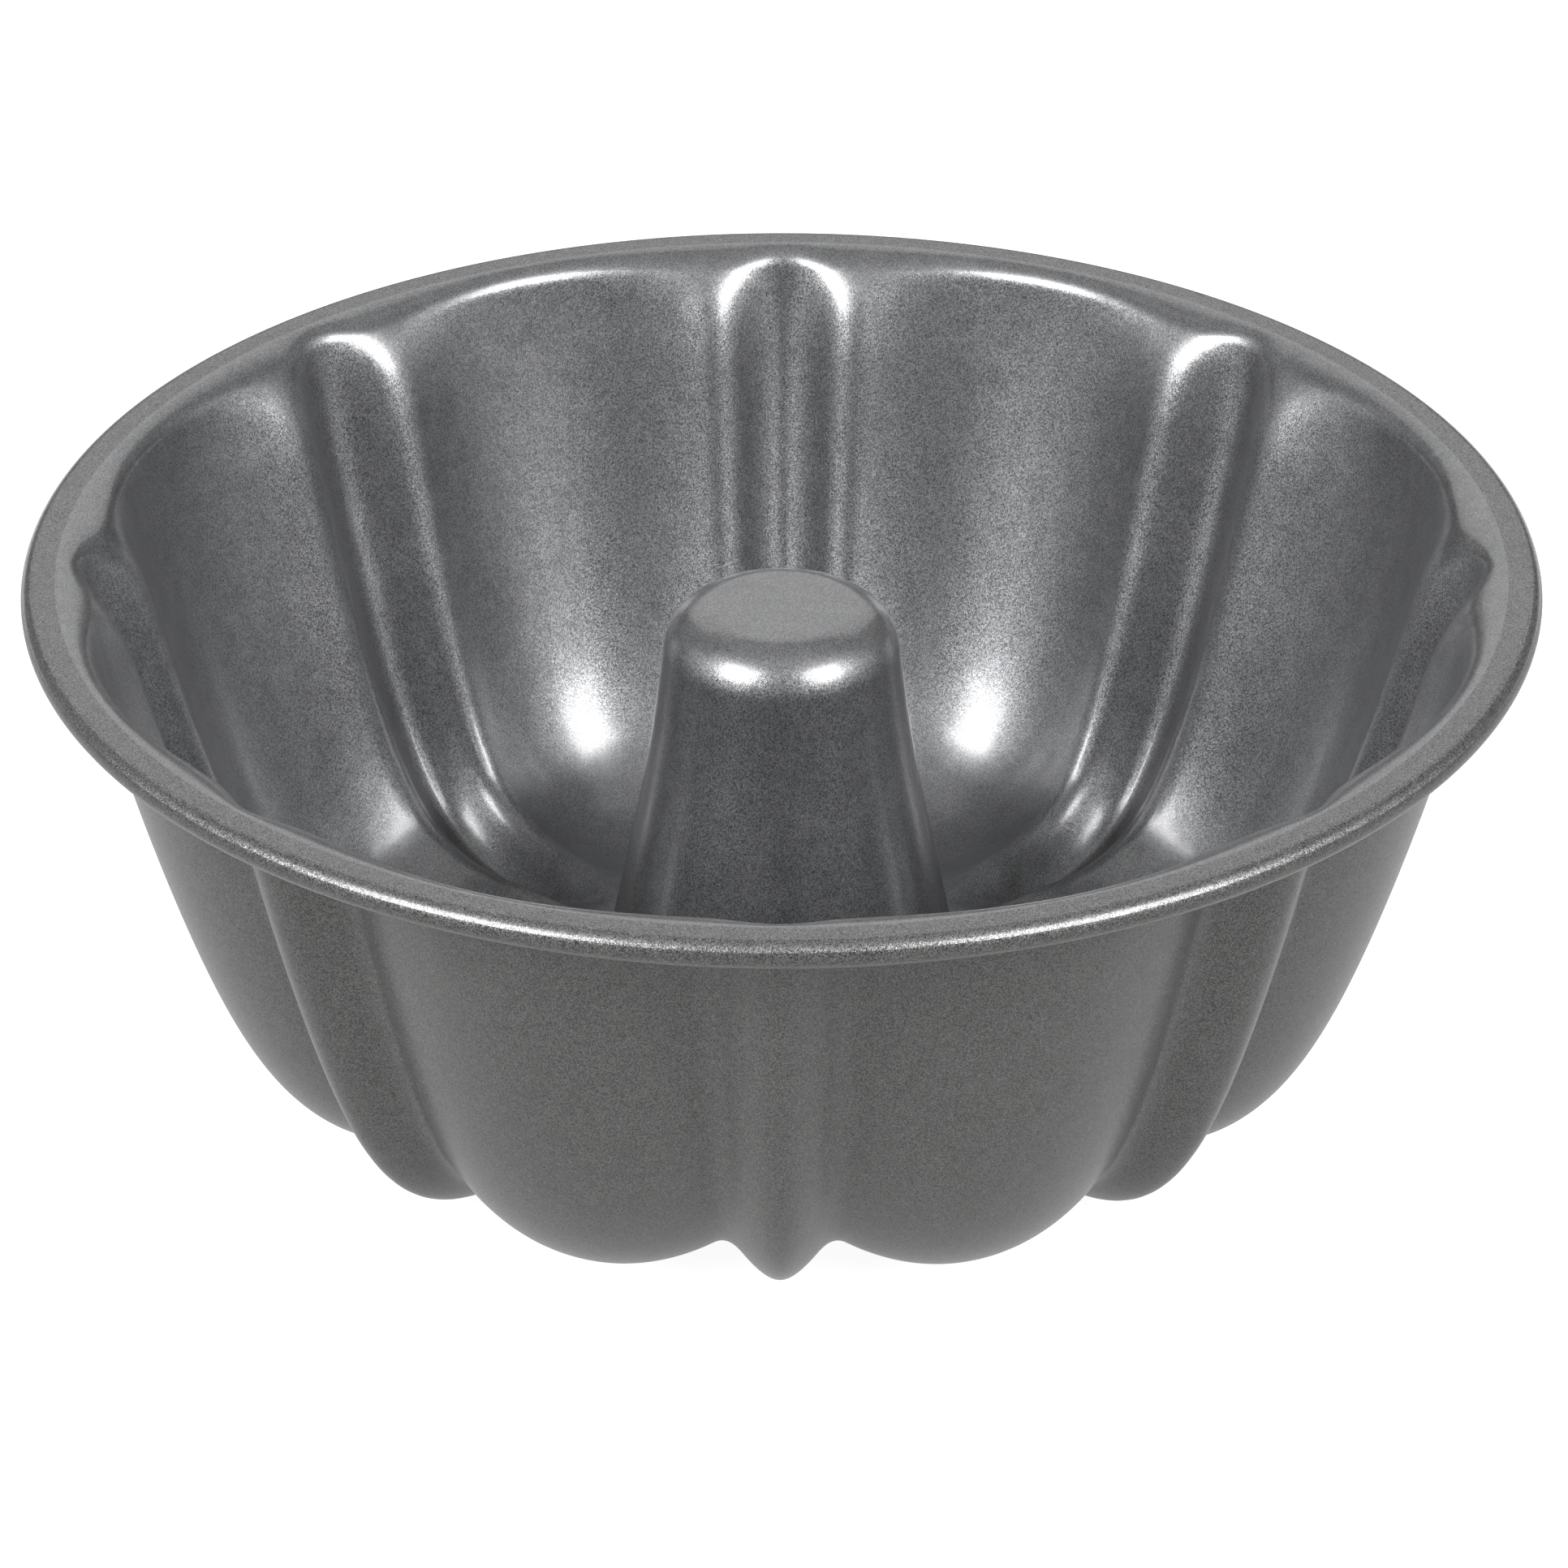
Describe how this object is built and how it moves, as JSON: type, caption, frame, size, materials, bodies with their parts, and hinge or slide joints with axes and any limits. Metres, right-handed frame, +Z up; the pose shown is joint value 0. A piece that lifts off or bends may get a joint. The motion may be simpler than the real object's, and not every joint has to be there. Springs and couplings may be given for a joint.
{
  "type": "bundt pan",
  "caption": "Round fluted tube pan for baking ring cakes, in grey non-stick steel, with a flat flange, a curled wired rim and a closed-top centre tube.",
  "frame": {"origin": "on the resting plane under the middle of the centre tube", "axes": "+Z up along the pan's axis of symmetry, -Y to the front, through the middle of a small flute"},
  "size_m": [0.248, 0.248, 0.0924],
  "materials": {
    "coated_steel": "dark grey metallic non-stick coating, satin",
    "coated_steel_tube": "dark grey metallic non-stick coating, satin",
    "wire_steel": "plain drawn steel wire, hidden in the curl"
  },
  "bodies": {
    "root": {"fluted_shell": "coated_steel", "center_tube": "coated_steel_tube", "rim_wire": "wire_steel"}
  },
  "joints": []
}
